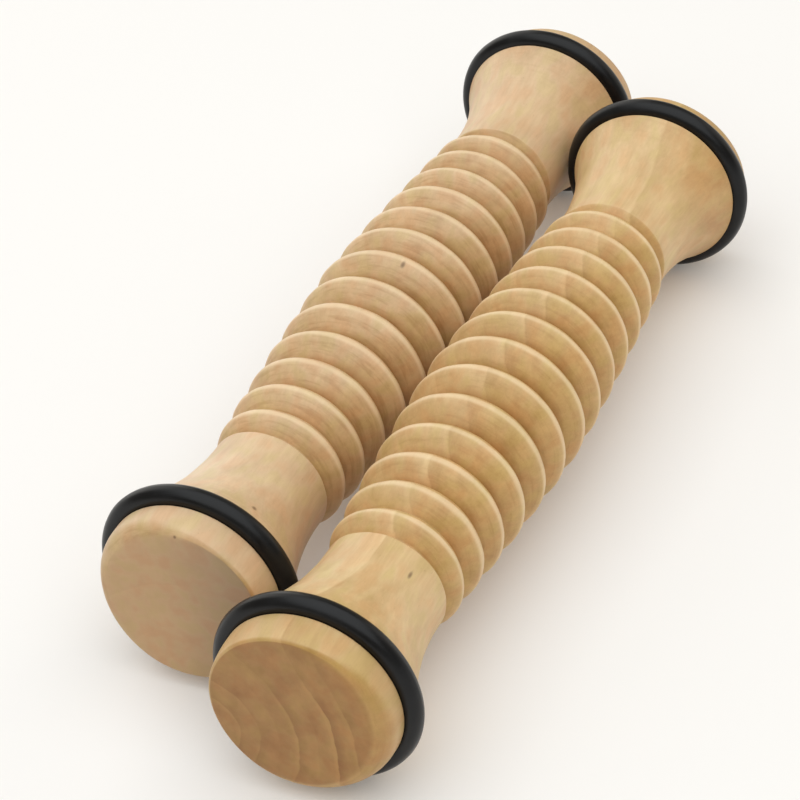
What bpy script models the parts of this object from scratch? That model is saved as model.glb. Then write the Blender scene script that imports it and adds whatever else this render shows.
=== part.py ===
"""A matched pair of foot massage rollers.

Each roller is one turned wooden body, with a ribbed barrel between two flared necks, and two
black rubber rings that sit in grooves near its ends. The rollers lie side by side on their
rings, axes along Y. The left one is set back, so each ring beside a neck nests in its flare.
"""
import math

import bmesh
import bpy

# Driving dimensions, in metres. Stations are distances from a roller's middle, along its axis.
ROLLER_LENGTH = 0.2315
RING_OUTER_RADIUS = 0.025
RING_SECTION_RADIUS = 0.0027
RING_STATION = 0.1049
RING_GAP = 0.0003

END_DISC_RADIUS = 0.0198
END_EDGE_RADIUS = 0.0014
KNOB_RADIUS = 0.0217
FLARE_RIM_RADIUS = 0.0222
NECK_RADIUS = 0.0150
NECK_STATION = 0.0699
NECK_CYLINDER = 0.0007
FLARE_POWER = 2.2

RIBS_EACH_SIDE = 6
RIB_PITCH = 0.01137
RIB_TIGHTENING = 0.0000225
MIDDLE_RIB_RADIUS = 0.0205
END_RIB_RADIUS = 0.0165
SWELL_POWER = 1.4
CREST_HALF_WIDTH = 0.0009
GROOVE_SLOPE = math.tan(math.radians(50))

AXIS_SPACING = 0.04105
LEFT_SET_BACK = 0.02485

# Facets.
TURN_STEPS = 32
RING_SIDES = 10
GROOVE_SIDES = 6
FLARE_SPANS = 7
EDGE_SPANS = 2
SHARP_ANGLE = math.radians(32)

# Colours are linear RGB.
RIGHT_WOOD = (0.62, 0.42, 0.21)
LEFT_WOOD = (0.60, 0.40, 0.23)
RUBBER = (0.012, 0.012, 0.014)
WOOD_ROUGHNESS = 0.55
RUBBER_ROUGHNESS = 0.42


def clear_objects():
    """Remove whatever objects the scene starts with."""
    for item in list(bpy.data.objects):
        bpy.data.objects.remove(item, do_unlink=True)


def make_material(name, colour, roughness):
    """Return a Principled material with one colour and one roughness."""
    material = bpy.data.materials.new(name)
    material.use_nodes = True
    shader = material.node_tree.nodes["Principled BSDF"]
    shader.inputs["Base Color"].default_value = (*colour, 1.0)
    shader.inputs["Roughness"].default_value = roughness
    shader.inputs["Metallic"].default_value = 0.0
    material.diffuse_color = (*colour, 1.0)
    return material


def rib_station(number):
    """Return how far rib `number` is from the middle; ribs crowd slightly towards the ends."""
    return RIB_PITCH * number - RIB_TIGHTENING * number ** 3


def rib_radius(number):
    """Return a rib's crest radius: the barrel swells towards the middle rib."""
    part_way = rib_station(number) / rib_station(RIBS_EACH_SIDE)
    return MIDDLE_RIB_RADIUS - (MIDDLE_RIB_RADIUS - END_RIB_RADIUS) * part_way ** SWELL_POWER


def rounded_end():
    """Return the end disc and its rounded edge, from the axis outwards."""
    half_length = ROLLER_LENGTH / 2
    points = [(0.0, half_length)]
    for step in range(EDGE_SPANS + 1):
        turn = math.radians(90) * step / EDGE_SPANS
        radius = END_DISC_RADIUS + END_EDGE_RADIUS * math.sin(turn)
        station = half_length - END_EDGE_RADIUS * (1 - math.cos(turn))
        points.append((radius, station))
    return points


def ring_groove():
    """Return the knob's barrel and the round-bottomed groove, down to the flare's rim."""
    middle_radius = RING_OUTER_RADIUS - RING_SECTION_RADIUS
    groove_radius = (RING_SECTION_RADIUS + RING_GAP) / math.cos(math.pi / 2 / GROOVE_SIDES)
    points = []
    for step in range(GROOVE_SIDES + 1):
        turn = math.pi * step / GROOVE_SIDES
        radius = middle_radius - groove_radius * math.sin(turn)
        station = RING_STATION + groove_radius * math.cos(turn)
        points.append((radius, station))
    points[0] = (KNOB_RADIUS, points[0][1])
    points[-1] = (FLARE_RIM_RADIUS, points[-1][1])
    return points


def flare():
    """Return the hollow flare, from below its rim to the crisp edge of the neck."""
    rim_station = ring_groove()[-1][1]
    tangent_station = NECK_STATION + NECK_CYLINDER
    points = []
    for step in range(1, FLARE_SPANS + 1):
        part_way = 1 - step / FLARE_SPANS
        radius = NECK_RADIUS + (FLARE_RIM_RADIUS - NECK_RADIUS) * part_way ** FLARE_POWER
        station = tangent_station + (rim_station - tangent_station) * part_way
        points.append((radius, station))
    points.append((NECK_RADIUS, NECK_STATION))
    return points


def groove_between(outer, inner):
    """Return the bottom of the V groove between two edges, each given as (radius, station)."""
    width = outer[1] - inner[1]
    radius = (outer[0] + inner[0] - width * GROOVE_SLOPE) / 2
    return (radius, (outer[1] + inner[1]) / 2)


def ribs():
    """Return the ribs and the grooves beside them, from the neck to the middle rib's crest."""
    points = []
    outer_edge = (NECK_RADIUS, NECK_STATION)
    for number in range(RIBS_EACH_SIDE, -1, -1):
        crest_top = (rib_radius(number), rib_station(number) + CREST_HALF_WIDTH)
        crest_bottom = (rib_radius(number), rib_station(number) - CREST_HALF_WIDTH)
        points.append(groove_between(outer_edge, crest_top))
        points.append(crest_top)
        if number > 0:
            points.append(crest_bottom)
        outer_edge = crest_bottom
    return points


def body_profile():
    """Return the whole outline of a wooden body, from its +Z end to its -Z end."""
    half = rounded_end() + ring_groove() + flare() + ribs()
    mirrored = [(radius, -station) for radius, station in reversed(half)]
    return half + mirrored


def ring_profile():
    """Return the closed round section of a rubber ring, centred on its own plane."""
    points = []
    for step in range(RING_SIDES):
        turn = math.tau * step / RING_SIDES
        radius = RING_OUTER_RADIUS - RING_SECTION_RADIUS * (1 - math.cos(turn))
        points.append((radius, RING_SECTION_RADIUS * math.sin(turn)))
    return points


def turned_mesh(name, profile, closed):
    """Spin an outline of (radius, height) points about Z into a closed, smooth-shaded mesh."""
    shape = bmesh.new()
    outline = [shape.verts.new((radius, 0.0, height)) for radius, height in profile]
    edges = [shape.edges.new(pair) for pair in zip(outline, outline[1:])]
    if closed:
        edges.append(shape.edges.new((outline[-1], outline[0])))
    bmesh.ops.spin(
        shape,
        geom=outline + edges,
        cent=(0, 0, 0),
        axis=(0, 0, 1),
        angle=math.tau,
        steps=TURN_STEPS,
        use_merge=True,
    )
    bmesh.ops.remove_doubles(shape, verts=shape.verts, dist=0.000001)
    bmesh.ops.recalc_face_normals(shape, faces=shape.faces)
    mesh = bpy.data.meshes.new(name)
    shape.to_mesh(mesh)
    shape.free()
    mesh.shade_smooth()
    mesh.set_sharp_from_angle(angle=SHARP_ANGLE)
    return mesh


def add_axis(name, x, y):
    """Add the empty on a roller's axis. Its Z points back along the axis, towards +Y."""
    axis = bpy.data.objects.new(name, None)
    axis.location = (x, y, RING_OUTER_RADIUS)
    axis.rotation_euler = (math.radians(-90), 0, 0)
    axis.empty_display_size = ROLLER_LENGTH / 2
    bpy.context.collection.objects.link(axis)
    return axis


def add_piece(name, mesh, axis, station, material):
    """Add one piece of a roller to the empty on that roller's axis."""
    piece = bpy.data.objects.new(name, mesh)
    piece.parent = axis
    piece.location = (0, 0, station)
    mesh.materials.append(material)
    bpy.context.collection.objects.link(piece)
    return piece


def add_roller(side, x, y, wood_colour):
    """Build one roller: its wooden body and its front and back rubber rings."""
    axis = add_axis(f"{side}_roller_axis", x, y)
    body_name = f"{side}_roller_body"
    wood = make_material(f"{side}_wood", wood_colour, WOOD_ROUGHNESS)
    add_piece(body_name, turned_mesh(body_name, body_profile(), False), axis, 0.0, wood)
    for end, station in (("front", -RING_STATION), ("back", RING_STATION)):
        ring_name = f"{side}_{end}_ring"
        rubber = make_material(f"{ring_name}_rubber", RUBBER, RUBBER_ROUGHNESS)
        add_piece(ring_name, turned_mesh(ring_name, ring_profile(), True), axis, station, rubber)


def main():
    """Build both rollers, centred on the origin and standing on the plane Z = 0."""
    clear_objects()
    add_roller("right", AXIS_SPACING / 2, -LEFT_SET_BACK / 2, RIGHT_WOOD)
    add_roller("left", -AXIS_SPACING / 2, LEFT_SET_BACK / 2, LEFT_WOOD)


main()
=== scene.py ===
"""The looks of a pair of foot massage rollers: turned wooden bodies and black rubber rings.

Every piece is built in the frame's own metres, round the axis of the roller that it belongs to.
A station is a distance along that axis from the roller's middle, towards +Y.
"""
import math

import bmesh
import bpy
from mathutils import Matrix, Vector, noise


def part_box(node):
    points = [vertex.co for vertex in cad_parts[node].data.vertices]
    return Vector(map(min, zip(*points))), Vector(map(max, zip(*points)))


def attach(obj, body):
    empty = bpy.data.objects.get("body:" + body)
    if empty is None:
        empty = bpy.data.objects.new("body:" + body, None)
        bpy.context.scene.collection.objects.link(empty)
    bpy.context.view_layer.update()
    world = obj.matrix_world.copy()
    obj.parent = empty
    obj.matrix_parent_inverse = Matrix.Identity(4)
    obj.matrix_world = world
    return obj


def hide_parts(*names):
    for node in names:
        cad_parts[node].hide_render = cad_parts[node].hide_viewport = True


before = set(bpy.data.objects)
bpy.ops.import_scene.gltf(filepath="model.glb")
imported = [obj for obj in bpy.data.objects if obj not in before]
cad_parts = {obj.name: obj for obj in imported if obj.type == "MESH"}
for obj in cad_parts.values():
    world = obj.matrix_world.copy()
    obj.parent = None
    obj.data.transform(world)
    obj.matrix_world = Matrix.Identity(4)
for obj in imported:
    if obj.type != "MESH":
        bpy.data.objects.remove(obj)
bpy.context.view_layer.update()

# One millimetre, in metres.
MM = 0.001

# A wooden body's end disc, the rounded edge round it, and the crowned knob up to the ring.
END_DISC_RADIUS = 20.2 * MM
END_EDGE_RADIUS = 1.0 * MM
KNOB_RADIUS = 21.7 * MM
KNOB_CROWN_STATION = 109.5 * MM

# The groove that a rubber ring sits in, how far its edges are eased, and how many of the
# groove's own points an eased edge stands in for.
GROOVE_CLEARANCE = 0.06 * MM
CORNER_REACH = 0.35 * MM
CORNER_STEPS = 4
EASED_POINTS = 2

# The neck, and the drop from its edge to the first rib.
NECK_RADIUS = 15.0 * MM
NECK_STATION = 69.9 * MM
NECK_CYLINDER = 0.7 * MM
NECK_ROUNDING = 0.4 * MM
NECK_SLOPE = math.tan(math.radians(50))

# How hollow the flare is between the neck and the groove, and the part of the way up it that
# its eased edge turns towards.
FLARE_POWER = 2.2
BELOW_FLARE_RIM = 0.9

# The ribs' places, and the swelling line that their tops lie on.
RIBS_EACH_SIDE = 6
RIB_PITCH = 11.37 * MM
RIB_TIGHTENING = 0.0225 * MM
MIDDLE_RIB_RADIUS = 20.5 * MM
END_RIB_RADIUS = 16.5 * MM
SWELL_POWER = 1.4

# A rib's section: a narrow crowned land, round shoulders and bulging faces.
CREST_LAND = 0.25 * MM
CREST_CROWN = 3.0 * MM
CREST_ROUNDING = 0.95 * MM
CREST_SLOPE = math.tan(math.radians(24))
FACE_BULGE = 0.11 / MM
VALLEY_BLEND = 0.3 * MM

# How unlike each other the ribs' shoulders are, and where along a noise each rib's chance lies.
ROUNDING_SPREAD = 0.9
RIB_CHANCE_STEP = 0.83
RIB_CHANCE_START = 0.4

# The depths below the swelling line at which the wood is wholly in a groove or off a crest.
GROOVE_DEPTH = 6.0 * MM
RIDGE_DEPTH = 0.35 * MM

# A rubber ring's section, with the mould line round its outside.
RING_SECTION_RADIUS = 2.7 * MM
MOULD_LINE_HEIGHT = 0.05 * MM
MOULD_LINE_HALF_ANGLE = math.radians(4)

# The unevenness that hand turning and sanding leave, which fades out before the rings.
WAVER = 0.14 * MM
WAVER_SIZE = 11.0 * MM
CHATTER = 0.08 * MM
CHATTER_SIZE = 3.5 * MM
TRUE_START = 94.0 * MM
TRUE_END = 99.0 * MM

# How finely the pieces are meshed.
TURN_STEPS = 180
DISC_POINTS = 10
EDGE_POINTS = 7
KNOB_POINTS = 6
GROOVE_POINTS = 18
FLARE_POINTS = 28
FLANK_POINTS = 11
VALLEY_SEARCH = 80
RING_SIDES = 48


def centre_of(node):
    """Return the middle of a CAD node's box."""
    low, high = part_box(node)
    return (low + high) / 2


def size_of(node):
    """Return the size of a CAD node's box."""
    low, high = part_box(node)
    return high - low


HALF_LENGTH = size_of("right_roller_body").y / 2
FLARE_RIM_RADIUS = size_of("right_roller_body").x / 2
RING_OUTER_RADIUS = size_of("right_front_ring").x / 2
RING_MIDDLE_RADIUS = RING_OUTER_RADIUS - RING_SECTION_RADIUS
RING_STATION = (centre_of("right_back_ring").y - centre_of("right_front_ring").y) / 2


# Outlines. Each point is a Vector of (radius, station).


def along(start, end, count):
    """Return `count` + 1 values from start to end, closer together near both."""
    turns = [math.pi * step / count for step in range(count + 1)]
    return [start + (end - start) * (1 - math.cos(turn)) / 2 for turn in turns]


def eased_corner(before, corner, after):
    """Return the points that round off a corner of an outline."""
    start = corner + (before - corner).normalized() * CORNER_REACH
    end = corner + (after - corner).normalized() * CORNER_REACH
    parts = [step / CORNER_STEPS for step in range(CORNER_STEPS + 1)]
    return [start * (1 - t) ** 2 + corner * 2 * t * (1 - t) + end * t ** 2 for t in parts]


def rib_station(number):
    """Return how far rib `number` is from the middle; ribs crowd slightly towards the ends."""
    return RIB_PITCH * number - RIB_TIGHTENING * number ** 3


def swell_radius(station):
    """Return the radius of the smooth swelling line that all the ribs' tops lie on."""
    part_way = min(1.0, abs(station / rib_station(RIBS_EACH_SIDE)))
    return MIDDLE_RIB_RADIUS - (MIDDLE_RIB_RADIUS - END_RIB_RADIUS) * part_way ** SWELL_POWER


def rib_radius(number):
    """Return a rib's crest radius: the barrel swells towards the middle rib."""
    return swell_radius(rib_station(number))


def rib_rounding(number, hand):
    """Return how round a rib's shoulders are. No two ribs that a hand has turned are alike."""
    place = Vector((number * RIB_CHANCE_STEP + RIB_CHANCE_START, hand, 0.0))
    chance = noise.noise(place)
    return CREST_ROUNDING * (1 + ROUNDING_SPREAD * chance)


def shoulder_fall(distance, rounding, slope):
    """Return how far the outline has fallen past an edge that turns over to some slope."""
    start = rounding * slope ** 2
    return math.hypot(start, slope * max(0.0, distance)) - start


def crest_fall(distance, rounding):
    """Return how far a rib has fallen beside its top: a crowned land, then a bulging face."""
    on_land = min(abs(distance), CREST_LAND)
    past_land = max(0.0, abs(distance) - CREST_LAND)
    face = shoulder_fall(past_land, rounding, CREST_SLOPE) + FACE_BULGE * past_land ** 2
    return on_land ** 2 / (2 * CREST_CROWN) + face


def blended_maximum(first, second):
    """Return the larger of two heights, with a small hollow fillet where they meet."""
    share = max(0.0, min(1.0, 0.5 + (first - second) / (2 * VALLEY_BLEND)))
    return second + (first - second) * share + VALLEY_BLEND * share * (1 - share)


def barrel_radius(station, hand):
    """Return the ribbed barrel's radius at a station between the two necks."""
    radius = NECK_RADIUS - shoulder_fall(NECK_STATION - abs(station), NECK_ROUNDING, NECK_SLOPE)
    for number in range(-RIBS_EACH_SIDE, RIBS_EACH_SIDE + 1):
        fall = crest_fall(station - rib_station(number), rib_rounding(number, hand))
        radius = blended_maximum(radius, rib_radius(number) - fall)
    return radius


def end_outline():
    """Return the end disc, its rounded edge and the crowned knob, towards the ring's groove."""
    edge_station = HALF_LENGTH - END_EDGE_RADIUS
    edge_radius = END_DISC_RADIUS + END_EDGE_RADIUS
    parts = [math.sqrt(step / DISC_POINTS) for step in range(DISC_POINTS)]
    points = [Vector((END_DISC_RADIUS * part, HALF_LENGTH)) for part in parts]
    for step in range(EDGE_POINTS + 1):
        turn = math.radians(90) * step / EDGE_POINTS
        radius = END_DISC_RADIUS + END_EDGE_RADIUS * math.sin(turn)
        points.append(Vector((radius, edge_station + END_EDGE_RADIUS * math.cos(turn))))
    for step in range(1, KNOB_POINTS + 1):
        part_left = 1 - step / KNOB_POINTS
        station = KNOB_CROWN_STATION + (edge_station - KNOB_CROWN_STATION) * part_left
        points.append(Vector((KNOB_RADIUS - (KNOB_RADIUS - edge_radius) * part_left ** 2, station)))
    return points


def groove_point(turn):
    """Return a point of the ring's groove: 0 faces the end, a half turn faces the flare."""
    groove_radius = RING_SECTION_RADIUS + GROOVE_CLEARANCE
    radius = RING_MIDDLE_RADIUS - groove_radius * math.sin(turn)
    return Vector((radius, RING_STATION + groove_radius * math.cos(turn)))


def groove_turn(radius):
    """Return the turn at which the groove comes up to a radius, on the end's side."""
    return math.asin((RING_MIDDLE_RADIUS - radius) / (RING_SECTION_RADIUS + GROOVE_CLEARANCE))


def flare_point(part_way):
    """Return a point of the hollow flare: 0 is at the neck, 1 is at the rim."""
    rim_station = groove_point(math.pi - groove_turn(FLARE_RIM_RADIUS)).y
    neck_station = NECK_STATION + NECK_CYLINDER
    radius = NECK_RADIUS + (FLARE_RIM_RADIUS - NECK_RADIUS) * part_way ** FLARE_POWER
    return Vector((radius, neck_station + (rim_station - neck_station) * part_way))


def groove_outline():
    """Return the ring's groove and its two eased edges."""
    first_turn = groove_turn(KNOB_RADIUS)
    last_turn = math.pi - groove_turn(FLARE_RIM_RADIUS)
    turn_step = (last_turn - first_turn) / GROOVE_POINTS
    turns = [first_turn + turn_step * step for step in range(GROOVE_POINTS + 1)]
    points = [groove_point(turn) for turn in turns]
    knob_side = Vector((KNOB_RADIUS, KNOB_CROWN_STATION))
    first_edge = eased_corner(knob_side, points[0], points[1])
    last_edge = eased_corner(points[-2], points[-1], flare_point(BELOW_FLARE_RIM))
    return first_edge + points[EASED_POINTS:-EASED_POINTS] + last_edge


def flare_outline():
    """Return the flare, from below its rim to the start of the neck."""
    parts = [1 - step / FLARE_POINTS for step in range(1, FLARE_POINTS + 1)]
    return [flare_point(part) for part in parts]


def flank_stations(top, valley):
    """Return the stations from a rib's top, over its land, down to the valley beside it."""
    land_edge = top + math.copysign(CREST_LAND, valley - top)
    return [top, (top + land_edge) / 2] + along(land_edge, valley, FLANK_POINTS)


def barrel_outline(hand):
    """Return the whole barrel, from the neck at the back to the neck at the front."""
    numbers = range(RIBS_EACH_SIDE, -RIBS_EACH_SIDE - 1, -1)
    tops = [NECK_STATION] + [rib_station(number) for number in numbers] + [-NECK_STATION]
    stations = [NECK_STATION]
    for top, next_top in zip(tops, tops[1:]):
        search = along(top, next_top, VALLEY_SEARCH)
        valley = min(search, key=lambda station: barrel_radius(station, hand))
        stations += flank_stations(top, valley)[1:]
        stations += flank_stations(next_top, valley)[-2::-1]
    return [Vector((barrel_radius(station, hand), station)) for station in stations]


def body_outline(hand):
    """Return a wooden body's whole outline, from its back end to its front end."""
    back = end_outline() + groove_outline() + flare_outline()
    front = [Vector((point.x, -point.y)) for point in reversed(back)]
    return back + barrel_outline(hand) + front


def ring_outline():
    """Return a rubber ring's closed section, with its mould line standing slightly proud."""
    points = []
    for step in range(RING_SIDES):
        turn = math.tau * step / RING_SIDES
        from_line = min(turn, math.tau - turn) / MOULD_LINE_HALF_ANGLE
        proud = MOULD_LINE_HEIGHT * math.exp(-from_line ** 2)
        section = RING_SECTION_RADIUS - MOULD_LINE_HEIGHT + proud
        radius = RING_MIDDLE_RADIUS + section * math.cos(turn)
        points.append(Vector((radius, section * math.sin(turn))))
    return points


# Turned meshes.


def unevenness(point, station):
    """Return how far the wood is out of true at a point; beside the rubber rings it is true."""
    share = max(0.0, min(1.0, (TRUE_END - abs(station)) / (TRUE_END - TRUE_START)))
    waver = WAVER * noise.noise(point / WAVER_SIZE)
    return share * (waver + CHATTER * noise.noise(point / CHATTER_SIZE))


def edge_rounding(turn, station, wear):
    """Return how far an end's edge is rounded over: most on one side, least on the opposite."""
    most_worn = wear["front"] if station < 0 else wear["back"]
    closeness = (1 + math.cos(turn - math.radians(most_worn))) / 2
    return END_EDGE_RADIUS + (wear["radius"] * MM - END_EDGE_RADIUS) * closeness ** 2


def worn_end(point, rounding):
    """Return an outline point moved in to the rounding that wear gives an end's edge there."""
    inner = Vector((KNOB_RADIUS - rounding, HALF_LENGTH - rounding))
    offset = Vector((point.x, abs(point.y))) - inner
    if min(offset) <= 0 or offset.length <= rounding:
        return point
    moved = inner + offset.normalized() * rounding
    return Vector((moved.x, math.copysign(moved.y, point.y)))


def turned_row(shape, centre, point, wear):
    """Add the circle of vertices that one outline point sweeps, or one vertex on the axis."""
    if point.x == 0:
        return [shape.verts.new(centre + Vector((0, point.y, 0)))]
    row = []
    for step in range(TURN_STEPS):
        turn = math.tau * step / TURN_STEPS
        outward = Vector((math.cos(turn), 0, math.sin(turn)))
        if wear is None:
            place = centre + outward * point.x + Vector((0, point.y, 0))
        else:
            worn = worn_end(point, edge_rounding(turn, point.y, wear))
            place = centre + outward * worn.x + Vector((0, worn.y, 0))
            place += outward * unevenness(place, point.y)
        row.append(shape.verts.new(place))
    return row


def join_rows(shape, first, second):
    """Fill the band between two rows of vertices; a row of one vertex makes a fan."""
    for step in range(TURN_STEPS):
        ahead = (step + 1) % TURN_STEPS
        corners = [first[step % len(first)], second[step % len(second)]]
        if len(second) > 1:
            corners.append(second[ahead])
        if len(first) > 1:
            corners.append(first[ahead])
        shape.faces.new(corners)


def turned_piece(name, centre, outline, closed=False, wear=None):
    """Turn an outline about the axis through `centre` and return it as a smooth piece.

    Wood is given its wear and is slightly out of true. Rubber has no wear and runs true.
    """
    shape = bmesh.new()
    rows = [turned_row(shape, centre, point, wear) for point in outline]
    for first, second in zip(rows, rows[1:]):
        join_rows(shape, first, second)
    if closed:
        join_rows(shape, rows[-1], rows[0])
    bmesh.ops.recalc_face_normals(shape, faces=shape.faces)
    mesh = bpy.data.meshes.new(name)
    shape.to_mesh(mesh)
    shape.free()
    mesh.shade_smooth()
    piece = bpy.data.objects.new(name, mesh)
    bpy.context.scene.collection.objects.link(piece)
    return piece


def mark_barrel(piece, centre):
    """Store how deep each vertex lies in the barrel's grooves, and how near it is to a crest."""
    mesh = piece.data
    hollow = mesh.attributes.new("hollow", "FLOAT", "POINT")
    ridge = mesh.attributes.new("ridge", "FLOAT", "POINT")
    for vertex in mesh.vertices:
        offset = vertex.co - centre
        depth = swell_radius(offset.y) - math.hypot(offset.x, offset.z)
        if abs(offset.y) < NECK_STATION:
            hollow.data[vertex.index].value = max(0.0, min(1.0, depth / GROOVE_DEPTH))
            ridge.data[vertex.index].value = max(0.0, min(1.0, 1 - depth / RIDGE_DEPTH))


# Materials. Colours are linear RGB, and a tint multiplies the colour below it.

# Every noise: how many features a millimetre holds along X, Y and Z, its detail, its roughness,
# and the shift that sets it apart from the others.
NOISES = {
    "slow swing": ((0.05, 0.035, 0.05), 2.0, 0.5, 0),
    "fine swing": ((0.25, 0.08, 0.25), 2.0, 0.5, 5),
    "patches": ((0.09, 0.045, 0.09), 2.0, 0.5, 9),
    "mottle": ((0.16, 0.07, 0.16), 4.0, 0.6, 20),
    "streaks": ((0.55, 0.04, 0.55), 3.0, 0.6, 30),
    "fibre": ((2.0, 0.08, 2.0), 4.0, 0.6, 40),
    "pores": ((5.5, 0.7, 5.5), 1.0, 0.5, 60),
    "figure": ((0.24, 0.11, 0.24), 1.5, 0.5, 80),
    "tool marks": ((0.11, 1.2, 0.11), 3.0, 0.6, 100),
    "rubber cloud": ((0.12, 0.12, 0.12), 3.0, 0.5, 0),
    "rubber dust": ((3.0, 3.0, 3.0), 2.0, 0.5, 7),
    "rubber skin": ((6.0, 6.0, 6.0), 2.0, 0.5, 13),
}
SHIFT_DIRECTION = (1.0, 0.7, -1.0)


class Look:
    """A material under construction: adds shader nodes, sets their inputs and links them."""

    def __init__(self, name):
        """Start a material with a Principled shader."""
        self.material = bpy.data.materials.new(name)
        self.material.use_nodes = True
        self.tree = self.material.node_tree
        self.shader = self.tree.nodes["Principled BSDF"]

    def feed(self, socket, value):
        """Link a socket to another node's output, or set its value."""
        if isinstance(value, bpy.types.NodeSocket):
            self.tree.links.new(value, socket)
        else:
            socket.default_value = value

    def shade(self, **inputs):
        """Give the Principled shader its inputs; an underscore stands for a space."""
        for name, value in inputs.items():
            self.feed(self.shader.inputs[name.replace("_", " ")], value)

    def node(self, kind, inputs, **settings):
        """Add a node with its settings and inputs and return its first output."""
        node = self.tree.nodes.new(kind)
        for name, value in settings.items():
            setattr(node, name, value)
        for key, value in inputs.items():
            self.feed(node.inputs[key], value)
        return node.outputs[0]

    def math(self, operation, first, second=0.0, third=0.0):
        """Add a math node."""
        return self.node("ShaderNodeMath", {0: first, 1: second, 2: third}, operation=operation)

    def between(self, share, plain, full):
        """Return `plain` at a share of 0, `full` at a share of 1, and a blend between them."""
        return self.math("MULTIPLY_ADD", share, full - plain, plain)

    def vector(self, operation, first, second):
        """Add a vector math node and return the vector it makes."""
        return self.node("ShaderNodeVectorMath", {0: first, 1: second}, operation=operation)

    def length(self, vector):
        """Return a vector's length."""
        node = self.tree.nodes.new("ShaderNodeVectorMath")
        node.operation = "LENGTH"
        self.feed(node.inputs[0], vector)
        return node.outputs["Value"]

    def remap(self, value, low, high, new_low=0.0, new_high=1.0):
        """Map a value smoothly from one range to another and hold it there."""
        inputs = {"Value": value, "From Min": low, "From Max": high}
        inputs.update({"To Min": new_low, "To Max": new_high})
        return self.node("ShaderNodeMapRange", inputs, interpolation_type="SMOOTHSTEP")

    def noise(self, point, name, seed=0.0):
        """Return one of the noises, from 0 to 1."""
        scale, detail, roughness, shift = NOISES[name]
        place = self.vector("MULTIPLY_ADD", point, scale)
        self.feed(place.node.inputs[2], [part * (seed + shift) for part in SHIFT_DIRECTION])
        inputs = {"Vector": place, "Scale": 1.0, "Detail": detail, "Roughness": roughness}
        return self.node("ShaderNodeTexNoise", inputs)

    def ramp(self, value, stops):
        """Return the grey that a value has on a ramp of (position, grey) stops."""
        node = self.tree.nodes.new("ShaderNodeValToRGB")
        elements = node.color_ramp.elements
        while len(elements) < len(stops):
            elements.new(0.5)
        for element, (position, grey) in zip(elements, stops):
            element.position = position
            element.color = (grey, grey, grey, 1.0)
        self.feed(node.inputs["Fac"], value)
        return node.outputs["Color"]

    def mix(self, share, first, second, blend="MIX"):
        """Mix two colours."""
        node = self.tree.nodes.new("ShaderNodeMix")
        node.data_type = "RGBA"
        node.blend_type = blend
        self.feed(node.inputs["Factor"], share)
        self.feed(node.inputs["A"], first)
        self.feed(node.inputs["B"], second)
        return node.outputs["Result"]

    def coordinates(self, output):
        """Return one output of the texture coordinate node."""
        return self.tree.nodes.new("ShaderNodeTexCoord").outputs[output]

    def attribute(self, name):
        """Return one of the values stored on the mesh."""
        node = self.tree.nodes.new("ShaderNodeAttribute")
        node.attribute_name = name
        return node.outputs["Fac"]

    def part(self, vector, axis):
        """Return one coordinate of a vector."""
        node = self.tree.nodes.new("ShaderNodeSeparateXYZ")
        self.feed(node.inputs[0], vector)
        return node.outputs[axis]

    def millimetres_from(self, centre):
        """Return the place on the piece, in millimetres from a point."""
        offset = self.vector("SUBTRACT", self.coordinates("Object"), centre)
        return self.vector("MULTIPLY", offset, (1 / MM, 1 / MM, 1 / MM))

    def set_bump(self, height_mm):
        """Raise the surface by a height in millimetres, in shading only."""
        inputs = {"Height": height_mm, "Strength": 1.0, "Distance": MM}
        self.shade(Normal=self.node("ShaderNodeBump", inputs))


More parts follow.
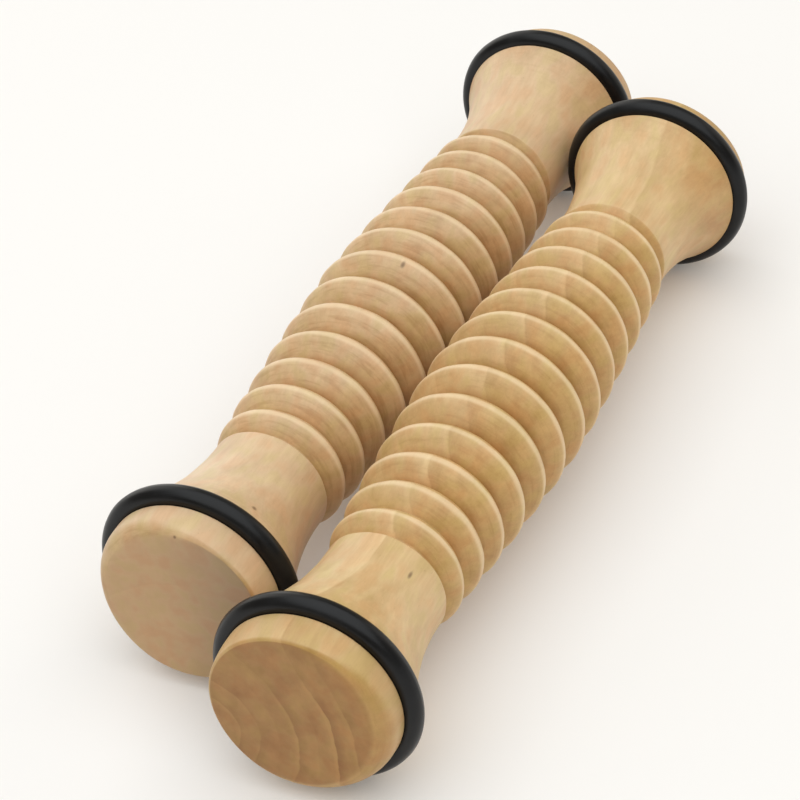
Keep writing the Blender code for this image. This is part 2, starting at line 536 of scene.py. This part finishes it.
# The two woods. Places and sizes are in millimetres from the roller's middle.
#
# pith, lean: a point on the middle line of the tree's growth rings, and that line's lean
# ring_edge, ring_spacing: how far from the pith the main ring lies, and the rings' spacing
# ring_bend: how far the rings bend in the upper wood, for each millimetre up
# main_ring, other_rings: how strongly the rings show
# blotches, turning: how strongly the end grain is mottled and the ribs' faces are tool-marked
# dull_side, dull_tint: the rings between which the wood turns dull, and its tint there
# pale, dark: the colours between which the wood's tone moves
# face_tone_and_painted_shade_tint, end_grain_and_painted_shade_tint, knob_tint: the tints of
# slanted faces, end grain and end knobs; the first two are part painted shade
# disc_side_painted_light_tint, front_flare_painted_sheen_tint: the tints of the discs' +X side,
# painted light and shade, and of the front flare's -X side, a painted sheen
# wear: the degrees from +X towards +Z where each end's edge is most worn, and how round it is
# seed: what makes the wood's noises and its ribs' unlike shoulders its own
# specks: (station, degrees from the top towards +X, radius, half width, half length) of each
WOODS = {
    "right": {
        "pith": (-23.5, 0.0, -9.2),
        "lean": 0.0194,
        "ring_edge": 35.0,
        "ring_spacing": 4.7,
        "ring_bend": 0.65,
        "main_ring": 0.42,
        "other_rings": 0.22,
        "blotches": 1.5,
        "turning": 0.5,
        "dull_side": (-0.2, 0.4),
        "dull_tint": (0.94, 0.88, 0.73),
        "pale": (0.80, 0.585, 0.325),
        "dark": (0.49, 0.295, 0.12),
        "face_tone_and_painted_shade_tint": (0.89, 0.825, 0.70),
        "end_grain_and_painted_shade_tint": (0.69, 0.575, 0.44),
        "knob_tint": (0.86, 0.81, 0.70),
        "disc_side_painted_light_tint": (1.06, 1.08, 1.04),
        "front_flare_painted_sheen_tint": (1.0, 1.03, 1.05),
        "wear": {"front": -20, "back": 60, "radius": 6.0},
        "seed": 3.1,
        "specks": [(-76.5, 42, 15.2, 0.45, 1.3), (-13.0, 52, 17.5, 0.35, 0.6)],
    },
    "left": {
        "pith": (6.0, 0.0, -31.0),
        "lean": 0.012,
        "ring_edge": 46.3,
        "ring_spacing": 3.9,
        "ring_bend": 0.0,
        "main_ring": 0.08,
        "other_rings": 0.03,
        "blotches": 0.35,
        "turning": 0.85,
        "dull_side": (0.25, -0.45),
        "dull_tint": (0.91, 0.865, 0.765),
        "pale": (0.80, 0.585, 0.365),
        "dark": (0.50, 0.32, 0.17),
        "face_tone_and_painted_shade_tint": (0.93, 0.885, 0.79),
        "end_grain_and_painted_shade_tint": (0.90, 0.865, 0.86),
        "knob_tint": (0.93, 0.91, 0.88),
        "disc_side_painted_light_tint": (0.72, 0.74, 0.80),
        "front_flare_painted_sheen_tint": (1.08, 1.13, 1.22),
        "wear": {"front": 150, "back": 75, "radius": 5.0},
        "seed": 11.7,
        "specks": [
            (-96.8, 35, 19.9, 0.65, 0.75),
            (-1.4, 16, 19.9, 0.55, 2.2),
            (-115.5, 4, 19.7, 0.4, 0.4),
        ],
    },
}

# How far the growth rings swing, and the height from which they bend, in millimetres.
SLOW_SWING = 2.4
FINE_SWING = 1.1
BEND_HEIGHT = 12.0
BEND_EASE = 8.0

# The tone across one ring, from half a ring inside its pale line to half a ring outside it.
RING_TONES = [
    (0.0, 0.5),
    (0.26, 0.6),
    (0.43, 0.86),
    (0.48, 0.8),
    (0.54, 0.16),
    (0.68, 0.26),
    (1.0, 0.5),
]

# The strength of the rings beside the main one follows a wave, and end grain shows rings best.
RING_CHANGE = 2.5
RING_PHASE = 6.57
RING_WAVE = 0.45
RING_MEAN = 0.55
MAIN_RING_END_GAIN = 2.3
OTHER_RINGS_END_GAIN = 4.0

# How much the plain wood's tone moves with each thing that marks it.
MIDDLE_TONE = 0.62
RING_CONTRAST = 0.5
MOTTLE_CONTRAST = 0.95
STREAK_CONTRAST = 0.45
KNOB_STREAK_CONTRAST = 0.15
FIBRE_CONTRAST = 0.35
END_FIBRE_CONTRAST = 0.1

# The values of a noise, a depth or a height between which something fades from its first
# strength to its second; without strengths, from 0 to 1.
PATCHY_RINGS = (0.32, 0.6, 0.3, 1.0)
UPPER_END_RINGS = (3.0, 12.0, 0.0, 0.7)
SPECK_EDGE = (0.3, 1.4, 0.25, 1.0)
OPEN_PORES = (0.70, 0.78)
REDDISH_FIGURE = (0.46, 0.68)
YELLOWISH_FIGURE = (0.32, 0.52, 1.0, 0.0)
GROOVE_SHADE = (0.40, 0.85)
TOOL_MARKS = (0.45, 0.7)
# The crests' pale line is partly polished wood and partly a painted highlight.
POLISHED_AND_PAINTED_HIGHLIGHT_CREST = (0.5, 1.4, 0.0, 0.45)
BLOOMED_RUBBER = (0.35, 0.75)
DUSTY_RUBBER = (0.66, 0.76, 0.0, 0.5)
RUBBER_ROUGHNESS = (0.3, 0.8, 0.30, 0.42)

# Where each part of a body begins and where it is full: for the slanted faces and the end
# grain, how squarely the surface faces an end, and otherwise a place in millimetres.
SLANTED_FACE = (0.15, 0.8)
END_GRAIN = (0.9, 0.99)
KNOB = (106.0, 111.0)
# The flare and disc-side places below bound only painted light and shade.
FRONT_FLARE = (-72.0, -86.0)
BACK_FLARE = (72.0, 92.0)
FLARE_MINUS_X_SIDE = (14.0, -2.0)
FLARE_PLUS_X_SIDE = (0.0, 17.0)
DISC_PLUS_X_SIDE = (-8.0, 18.0)

# Tints and colours that both woods share.
REDDISH_TINT = (1.0, 0.92, 0.88)
YELLOWISH_TINT = (0.965, 1.0, 0.90)
# Painted shade: the back flare is darkened towards its +X side.
PAINTED_BACK_FLARE_SHADE_TINT = (0.89, 0.83, 0.74)
# Painted shade: the wood deep in the grooves between the ribs is darkened.
PAINTED_GROOVE_SHADE_TINT = (0.74, 0.63, 0.47)
TOOL_MARK_TINT = (0.82, 0.76, 0.67)
PORE_TINT = (0.45, 0.33, 0.22)
PORE_STRENGTH = 0.28
DULL_OFF_FACES = 0.25
# The crests' pale line: partly polished wood, partly a painted highlight.
POLISHED_PALE_AND_PAINTED_HIGHLIGHT = (0.90, 0.69, 0.43, 1)
FIGURE_IN_PALE_CREST = 0.6
SPECK_BROWN = (0.16, 0.085, 0.035, 1)

# The wood's gloss, and its relief in millimetres.
WOOD_ROUGHNESS = 0.36
FIBRE_ROUGHNESS = 0.14
GROOVE_ROUGHNESS = 0.12
WOOD_SPECULAR = 0.5
FIBRE_RELIEF = 0.016
TOOL_MARK_RELIEF = 0.014
PORE_RELIEF = -0.02

# The rubber's colours and gloss, and its relief in millimetres.
RUBBER_BLACK = (0.0035, 0.0035, 0.0042, 1)
RUBBER_BLOOM = (0.0075, 0.0078, 0.0092, 1)
RUBBER_DUST = (0.02, 0.02, 0.021, 1)
RUBBER_SPECULAR = 0.28
SKIN_RELIEF = 0.008
CLOUD_RELIEF = 0.05


def ring_count(look, point, wood):
    """Return how many growth rings outside its wood's main ring a point lies."""
    over = look.math("SUBTRACT", look.part(point, "Z"), BEND_HEIGHT)
    over = look.math("SMOOTH_MAX", over, 0.0, BEND_EASE)
    bend = look.node("ShaderNodeCombineXYZ", {"Z": look.math("MULTIPLY", over, wood["ring_bend"])})
    from_pith = look.vector("SUBTRACT", look.vector("SUBTRACT", point, bend), wood["pith"])
    across = look.vector("MULTIPLY", from_pith, (1, 0, 1))
    lean = look.math("MULTIPLY", look.part(point, "Y"), -wood["lean"])
    distance = look.math("ADD", look.length(across), lean)
    for name, swing in (("slow swing", SLOW_SWING), ("fine swing", FINE_SWING)):
        noise_here = look.noise(point, name, wood["seed"])
        distance = look.math("MULTIPLY_ADD", noise_here, swing, distance)
    start = wood["ring_edge"] + (SLOW_SWING + FINE_SWING) / 2
    from_edge = look.math("SUBTRACT", distance, start)
    return look.math("DIVIDE", from_edge, wood["ring_spacing"])


def ring_tone(look, point, count, end_grain, wood):
    """Return from -1 to 1 how much the growth rings pale the wood; end grain shows them best.

    Each ring ends in a pale line. Just outside the line the wood is dark, then it fades back.
    """
    line = look.math("ROUND", count)
    beyond = look.math("SUBTRACT", count, line)
    tone = look.ramp(look.math("ADD", beyond, 0.5), RING_TONES)
    tone = look.math("MULTIPLY_ADD", tone, 2.0, -1.0)

    wave = look.math("SINE", look.math("MULTIPLY_ADD", line, RING_CHANGE, RING_PHASE))
    other = look.math("MULTIPLY_ADD", wave, RING_WAVE, RING_MEAN)
    other = look.math("MULTIPLY", other, look.between(end_grain, 1.0, OTHER_RINGS_END_GAIN))
    other = look.math("MULTIPLY", other, wood["other_rings"])
    main_ring = wood["main_ring"]
    main = look.between(end_grain, main_ring, main_ring * MAIN_RING_END_GAIN)
    is_main = look.math("COMPARE", line, 0.0, 0.5)
    strength = look.math("MULTIPLY_ADD", is_main, main, other)
    patches = look.remap(look.noise(point, "patches", wood["seed"]), *PATCHY_RINGS)
    strength = look.math("MULTIPLY", strength, patches)
    high_up = look.remap(look.part(point, "Z"), *UPPER_END_RINGS)
    fading = look.between(look.math("MULTIPLY", high_up, end_grain), 1.0, 0.0)
    return look.math("MULTIPLY", tone, look.math("MULTIPLY", strength, fading))


def speck_shade(look, point, wood):
    """Return 1 on clear wood, falling towards 0 in the wood's small dark specks."""
    clear = 1.0
    for station, degrees, radius, half_width, half_length in wood["specks"]:
        turn = math.radians(degrees)
        middle = (radius * math.sin(turn), station, radius * math.cos(turn))
        offset = look.vector("SUBTRACT", point, middle)
        scaled = look.vector("DIVIDE", offset, (half_width, half_length, half_width))
        clear = look.math("MULTIPLY", clear, look.remap(look.length(scaled), *SPECK_EDGE))
    return clear


def wood_tone(look, point, count, parts, wood):
    """Return how pale the plain wood is, from its growth rings, its mottle and its fibre."""
    end_grain = parts["end grain"]
    rings = ring_tone(look, point, count, end_grain, wood)
    tone = look.math("MULTIPLY_ADD", rings, RING_CONTRAST, MIDDLE_TONE)
    contrasts = {
        "mottle": look.between(end_grain, MOTTLE_CONTRAST, wood["blotches"]),
        "streaks": look.between(parts["knob"], STREAK_CONTRAST, KNOB_STREAK_CONTRAST),
        "fibre": look.between(end_grain, FIBRE_CONTRAST, END_FIBRE_CONTRAST),
    }
    for name, contrast in contrasts.items():
        swing = look.math("SUBTRACT", look.noise(point, name, wood["seed"]), 0.5)
        tone = look.math("MULTIPLY_ADD", swing, contrast, tone)
    return tone


def body_parts(look, point):
    """Return how much a point belongs to each part of a wooden body, from 0 to 1."""
    x = look.part(point, "X")
    y = look.part(point, "Y")
    tilt = look.math("ABSOLUTE", look.part(look.coordinates("Normal"), "Y"))
    slanted = look.remap(tilt, *SLANTED_FACE)
    end_grain = look.remap(tilt, *END_GRAIN)
    knob = look.remap(look.math("ABSOLUTE", y), *KNOB)
    off_knob = look.math("SUBTRACT", 1.0, knob)
    front_flare = look.math("MULTIPLY", look.remap(y, *FRONT_FLARE), off_knob)
    back_flare = look.remap(y, *BACK_FLARE)
    return {
        "slanted": slanted,
        "end grain": end_grain,
        "rib face": look.math("SUBTRACT", slanted, end_grain),
        "knob": knob,
        # Painted light and shade on the discs' +X side.
        "disc side painted light": look.math("MULTIPLY", look.remap(x, *DISC_PLUS_X_SIDE), end_grain),
        # A painted sheen on the front flare's -X side.
        "front flare painted sheen": look.math("MULTIPLY", front_flare, look.remap(x, *FLARE_MINUS_X_SIDE)),
        # Painted shade on the back flare's +X side.
        "back flare painted shade": look.math("MULTIPLY", back_flare, look.remap(x, *FLARE_PLUS_X_SIDE)),
    }


def wood_tints(look, count, parts, grain, hollow, wood):
    """Return the wood's tints in order, each after how strongly it applies; some are painted light
    and shade.
    """
    on_faces = look.between(parts["rib face"], DULL_OFF_FACES, 1.0)
    dull = look.math("MULTIPLY", look.remap(count, *wood["dull_side"]), on_faces)
    marks = look.remap(grain["tool marks"], *TOOL_MARKS, 0.0, wood["turning"])
    return [
        (look.remap(grain["figure"], *REDDISH_FIGURE), REDDISH_TINT),
        (look.remap(grain["figure"], *YELLOWISH_FIGURE), YELLOWISH_TINT),
        # Slanted faces and end grain: partly their own darker tone, partly painted shade.
        (parts["slanted"], wood["face_tone_and_painted_shade_tint"]),
        (parts["end grain"], wood["end_grain_and_painted_shade_tint"]),
        # Painted light and shade on the discs' +X side.
        (parts["disc side painted light"], wood["disc_side_painted_light_tint"]),
        (parts["knob"], wood["knob_tint"]),
        # A painted sheen on the front flare's -X side.
        (parts["front flare painted sheen"], wood["front_flare_painted_sheen_tint"]),
        # Painted shade on the back flare's +X side.
        (parts["back flare painted shade"], PAINTED_BACK_FLARE_SHADE_TINT),
        # Painted shade in the grooves.
        (look.remap(hollow, *GROOVE_SHADE), PAINTED_GROOVE_SHADE_TINT),
        (dull, wood["dull_tint"]),
        (look.math("MULTIPLY", marks, parts["rib face"]), TOOL_MARK_TINT),
        (look.math("MULTIPLY", grain["open pores"], PORE_STRENGTH), PORE_TINT),
    ]


def wood_look(side, centre):
    """Return the oiled, turned wood of one roller."""
    wood = WOODS[side]
    look = Look(f"{side}_turned_wood")
    point = look.millimetres_from(centre)
    parts = body_parts(look, point)
    names = ("fibre", "pores", "figure", "tool marks")
    grain = {name: look.noise(point, name, wood["seed"]) for name in names}
    grain["open pores"] = look.remap(grain["pores"], *OPEN_PORES)
    hollow = look.attribute("hollow")

    count = ring_count(look, point, wood)
    tone = wood_tone(look, point, count, parts, wood)
    colour = look.mix(tone, (*wood["dark"], 1), (*wood["pale"], 1))
    for share, tint in wood_tints(look, count, parts, grain, hollow, wood):
        colour = look.mix(share, colour, (*tint, 1), "MULTIPLY")
    # A pale line along each crest: partly polish, partly a painted highlight.
    crest = look.math("MULTIPLY_ADD", grain["figure"], FIGURE_IN_PALE_CREST, look.attribute("ridge"))
    colour = look.mix(look.remap(crest, *POLISHED_AND_PAINTED_HIGHLIGHT_CREST), colour, POLISHED_PALE_AND_PAINTED_HIGHLIGHT)
    colour = look.mix(speck_shade(look, point, wood), SPECK_BROWN, colour)

    rough = look.math("MULTIPLY_ADD", grain["fibre"], FIBRE_ROUGHNESS, WOOD_ROUGHNESS)
    rough = look.math("MULTIPLY_ADD", hollow, GROOVE_ROUGHNESS, rough)
    look.shade(Base_Color=colour, Roughness=rough, Specular_IOR_Level=WOOD_SPECULAR)

    height = look.math("MULTIPLY", grain["fibre"], FIBRE_RELIEF)
    height = look.math("MULTIPLY_ADD", grain["tool marks"], TOOL_MARK_RELIEF, height)
    height = look.math("MULTIPLY_ADD", grain["open pores"], PORE_RELIEF, height)
    look.set_bump(height)
    return look.material


def rubber_look():
    """Return satin black moulded rubber, faintly dusty and scuffed in patches."""
    look = Look("black_satin_rubber")
    point = look.millimetres_from((0, 0, 0))
    cloud = look.noise(point, "rubber cloud")
    dust = look.noise(point, "rubber dust")
    skin = look.noise(point, "rubber skin")
    colour = look.mix(look.remap(cloud, *BLOOMED_RUBBER), RUBBER_BLACK, RUBBER_BLOOM)
    colour = look.mix(look.remap(dust, *DUSTY_RUBBER), colour, RUBBER_DUST)
    rough = look.remap(cloud, *RUBBER_ROUGHNESS)
    look.shade(Base_Color=colour, Roughness=rough, Specular_IOR_Level=RUBBER_SPECULAR)
    height = look.math("MULTIPLY", skin, SKIN_RELIEF)
    look.set_bump(look.math("MULTIPLY_ADD", cloud, CLOUD_RELIEF, height))
    return look.material


# The object.


def add_body(side, rubber):
    """Add one roller's turned wooden body and its two rubber rings, and let them ride."""
    body_node = f"{side}_roller_body"
    centre = centre_of(body_node)
    outline = body_outline(WOODS[side]["seed"])
    wood = turned_piece(f"{side}_turned_body", centre, outline, wear=WOODS[side]["wear"])
    mark_barrel(wood, centre)
    wood.data.materials.append(wood_look(side, centre))
    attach(wood, f"{side}_roller")
    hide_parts(body_node)
    for end in ("front", "back"):
        ring_node = f"{side}_{end}_ring"
        ring_centre = centre_of(ring_node)
        ring = turned_piece(f"{side}_{end}_rubber_ring", ring_centre, ring_outline(), closed=True)
        ring.data.materials.append(rubber)
        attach(ring, f"{side}_roller")
        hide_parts(ring_node)


# The studio. Lengths are in metres, lamps in watts and the lens in millimetres.

CAMERA_PLACE = Vector((0.2725, -0.5572, 0.4706))
CAMERA_AZIMUTH = math.radians(27.18)
CAMERA_ELEVATION = math.radians(36.28)
CAMERA_ROLL = math.radians(-5.21)
SENSOR_WIDTH = 36.0
LENS = 140.4

# The name, place, size, power and colour of each lamp.
LAMPS = [
    ("overhead", (0.1, -0.4, 1.45), 2.7, 36.3, (0.92, 0.965, 1.0)),
    ("left", (-1.2, 0.8, 0.6), 1.4, 8.0, (1.0, 0.98, 0.95)),
    ("right", (1.1, 1.1, 0.6), 1.4, 5.2, (1.0, 0.95, 0.87)),
]
WORLD_COLOUR = (1.0, 0.92, 0.74, 1.0)
WORLD_STRENGTH = 0.25

FLOOR_HALF_SIZE = 3.0
FLOOR_COLOUR = (0.80, 0.782, 0.77, 1)
FLOOR_GLOW = (1.0, 0.965, 0.92, 1)
FLOOR_GLOW_STRENGTH = 0.11
FLOOR_ROUGHNESS = 0.8


def add_camera():
    """Look down at the pair from the front right with a long lens."""
    camera = bpy.data.objects.new("camera", bpy.data.cameras.new("camera"))
    camera.data.sensor_width = SENSOR_WIDTH
    camera.data.lens = LENS
    tilt = Matrix.Rotation(math.radians(90) - CAMERA_ELEVATION, 4, "X")
    facing = Matrix.Rotation(CAMERA_AZIMUTH, 4, "Z") @ tilt
    roll = Matrix.Rotation(CAMERA_ROLL, 4, "Z")
    camera.matrix_world = Matrix.Translation(CAMERA_PLACE) @ facing @ roll
    bpy.context.scene.collection.objects.link(camera)
    bpy.context.scene.camera = camera


def add_soft_light(name, place, size, watts, colour):
    """Add a square soft box that faces the object."""
    lamp = bpy.data.lights.new(name, "AREA")
    lamp.color = colour
    lamp.size = size
    lamp.energy = watts
    light = bpy.data.objects.new(name, lamp)
    light.location = place
    light.rotation_euler = (-Vector(place)).to_track_quat("-Z", "Y").to_euler()
    bpy.context.scene.collection.objects.link(light)


def add_surroundings():
    """Surround the object with an even, weak and warm light."""
    world = bpy.data.worlds.new("studio")
    world.use_nodes = True
    background = world.node_tree.nodes["Background"]
    background.inputs["Color"].default_value = WORLD_COLOUR
    background.inputs["Strength"].default_value = WORLD_STRENGTH
    bpy.context.scene.world = world


def add_floor():
    """Add the plain pale floor, which glows slightly so that it stays pale in the shade."""
    shape = bmesh.new()
    bmesh.ops.create_grid(shape, x_segments=1, y_segments=1, size=FLOOR_HALF_SIZE)
    mesh = bpy.data.meshes.new("floor")
    shape.to_mesh(mesh)
    shape.free()
    floor = bpy.data.objects.new("floor", mesh)
    look = Look("pale_floor")
    look.shade(Base_Color=FLOOR_COLOUR, Roughness=FLOOR_ROUGHNESS)
    look.shade(Emission_Color=FLOOR_GLOW, Emission_Strength=FLOOR_GLOW_STRENGTH)
    mesh.materials.append(look.material)
    bpy.context.scene.collection.objects.link(floor)


def add_studio():
    """Add the camera, the soft light and the floor."""
    add_camera()
    add_surroundings()
    for name, place, size, watts, colour in LAMPS:
        add_soft_light(name, place, size, watts, colour)
    add_floor()
    bpy.context.scene.view_settings.view_transform = "Standard"


rubber_material = rubber_look()
add_body("right", rubber_material)
add_body("left", rubber_material)
add_studio()
